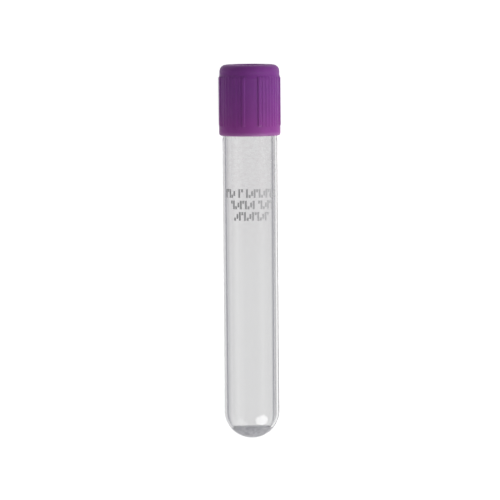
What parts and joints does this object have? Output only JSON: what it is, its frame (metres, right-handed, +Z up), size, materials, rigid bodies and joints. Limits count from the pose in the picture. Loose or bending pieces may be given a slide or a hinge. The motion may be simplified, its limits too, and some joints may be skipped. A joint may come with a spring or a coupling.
{
  "type": "blood collection tube",
  "caption": "Round-bottom clear plastic sample tube with a ribbed rubber stopper and a dried additive deposit in its round end.",
  "frame": {"origin": "on the bench surface, midway along the tube and stopper as they lie", "axes": "+Y along the tube towards the stopper, +Z up from the bench; the tube's own axis rises 0.621 degrees towards +Y, because the stopper is wider than the tube"},
  "size_m": [0.0178, 0.1082, 0.0179],
  "materials": {
    "tube": "clear moulded, glossy",
    "deposit": "dried, grey-white",
    "stopper": "satin moulded rubber"
  },
  "bodies": {
    "root": {"tube": "tube", "deposit": "deposit"},
    "stopper": {"stopper": "stopper"}
  },
  "joints": [
    {"name": "stopper_pull", "type": "slide", "parent": "root", "child": "stopper", "axis": [0, 0.9999, 0.0108], "range_m": [0, 0.04]}
  ]
}
